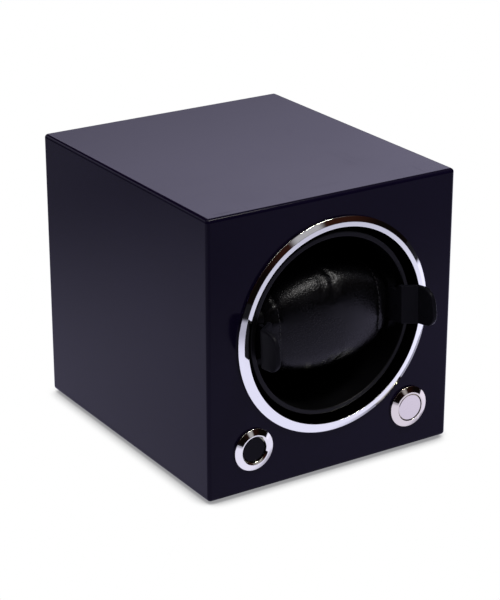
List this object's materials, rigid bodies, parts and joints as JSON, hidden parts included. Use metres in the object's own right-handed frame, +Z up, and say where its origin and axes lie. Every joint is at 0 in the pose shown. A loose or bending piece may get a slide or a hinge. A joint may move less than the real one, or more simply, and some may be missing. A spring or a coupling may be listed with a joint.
{
  "type": "watch winder box",
  "caption": "Gloss lacquered box with a chrome-ringed round opening, a motor-driven drum, a pull-out watch pillow with finger tabs, push buttons and a battery bay at the back.",
  "frame": {"origin": "middle of the cabinet's footprint, on the surface that it stands on", "axes": "+Z up, the front faces -Y, +X to the right of someone facing the front"},
  "size_m": [0.116, 0.148, 0.118],
  "materials": {
    "lacquer": "high gloss piano lacquer, black with a violet cast",
    "raw_board": "raw fibreboard",
    "chrome": "polished",
    "black_plastic": "satin moulded",
    "gloss_black": "polished moulded",
    "leatherette": "fine pebbled grain, soft",
    "felt": "black felt",
    "suede": "black suede lining",
    "steel": "turned",
    "zinc": "zinc plated",
    "bronze": "sintered bronze",
    "acetal": "natural acetal",
    "circuit_board": "solder mask",
    "plug_plastic": "moulded",
    "cell_wrap": "plain shrink wrap",
    "lead_skin": "soft wire insulation"
  },
  "bodies": {
    "cabinet": {"cabinet_shell": "lacquer", "corner_blocks": "raw_board", "base_felt": "felt", "front_ring": "chrome", "drum_housing": "black_plastic", "housing_screws": "zinc", "front_bush": "bronze", "rear_bush": "bronze", "idler_pin": "steel", "motor_gearhead": "zinc", "motor_can": "steel", "motor_screws": "zinc", "gear_plate": "black_plastic", "plate_screws": "zinc", "rear_cover": "black_plastic", "cover_screws": "zinc", "battery_tray": "black_plastic", "battery_cells": "cell_wrap", "battery_contacts": "steel", "dc_jack": "gloss_black", "jack_nut": "zinc", "control_board": "circuit_board", "board_posts": "acetal", "board_screws": "zinc", "board_parts": "plug_plastic", "left_button_bezel": "chrome", "right_button_bezel": "chrome", "left_button_nut": "zinc", "right_button_nut": "zinc", "left_switch": "black_plastic", "right_switch": "black_plastic", "motor_leads": "lead_skin", "battery_leads": "lead_skin", "jack_leads": "lead_skin", "switch_leads": "lead_skin"},
    "drum": {"drum": "black_plastic", "drum_lining": "suede", "drum_screw": "zinc", "drum_shaft": "steel", "shaft_clip": "steel", "drum_gear": "acetal"},
    "idler": {"idler_gear": "acetal"},
    "pinion": {"motor_pinion": "acetal", "motor_shaft": "steel"},
    "holder": {"pillow": "leatherette", "holder_spine": "black_plastic", "left_end_plate": "black_plastic", "right_end_plate": "black_plastic", "end_plate_screws": "zinc", "tab_pins": "steel"},
    "left_tab": {"left_tab": "gloss_black"},
    "right_tab": {"right_tab": "gloss_black"},
    "left_button": {"left_button_cap": "gloss_black"},
    "right_button": {"right_button_cap": "chrome"},
    "battery_door": {"battery_door": "black_plastic"}
  },
  "joints": [
    {"name": "drum_turn", "type": "hinge", "parent": "cabinet", "child": "drum", "pos_m": [0, -0.03525, 0.0636], "axis": [0, 1, 0], "continuous": true},
    {"name": "idler_turn", "type": "hinge", "parent": "cabinet", "child": "idler", "pos_m": [-0.02005, 0.00475, 0.04355], "axis": [0, 1, 0], "continuous": true},
    {"name": "pinion_turn", "type": "hinge", "parent": "cabinet", "child": "pinion", "pos_m": [-0.00095, 0.00975, 0.03253], "axis": [0, 1, 0], "continuous": true},
    {"name": "holder_pull", "type": "slide", "parent": "drum", "child": "holder", "axis": [0, -1, 0], "range_m": [0, 0.06]},
    {"name": "left_tab_pinch", "type": "hinge", "parent": "holder", "child": "left_tab", "pos_m": [-0.0316, -0.04525, 0.0625], "axis": [-0.0349, 0, 0.9994], "range_deg": [0, 3], "stiffness_Nm_per_rad": 0.6},
    {"name": "right_tab_pinch", "type": "hinge", "parent": "holder", "child": "right_tab", "pos_m": [0.0316, -0.04525, 0.0647], "axis": [0.0349, 0, -0.9994], "range_deg": [0, 3], "stiffness_Nm_per_rad": 0.6},
    {"name": "left_button_press", "type": "slide", "parent": "cabinet", "child": "left_button", "axis": [0, 1, 0], "range_m": [0, 0.0012], "stiffness_N_per_m": 1200},
    {"name": "right_button_press", "type": "slide", "parent": "cabinet", "child": "right_button", "axis": [0, 1, 0], "range_m": [0, 0.0012], "stiffness_N_per_m": 1200},
    {"name": "battery_door_open", "type": "hinge", "parent": "cabinet", "child": "battery_door", "pos_m": [0, 0.063, 0.0725], "axis": [-1, 0, 0], "range_deg": [0, 90]}
  ],
  "couplings": [
    {"joint": "idler_turn", "follows": "drum_turn", "ratio": -3.5},
    {"joint": "pinion_turn", "follows": "drum_turn", "ratio": 8.75}
  ]
}
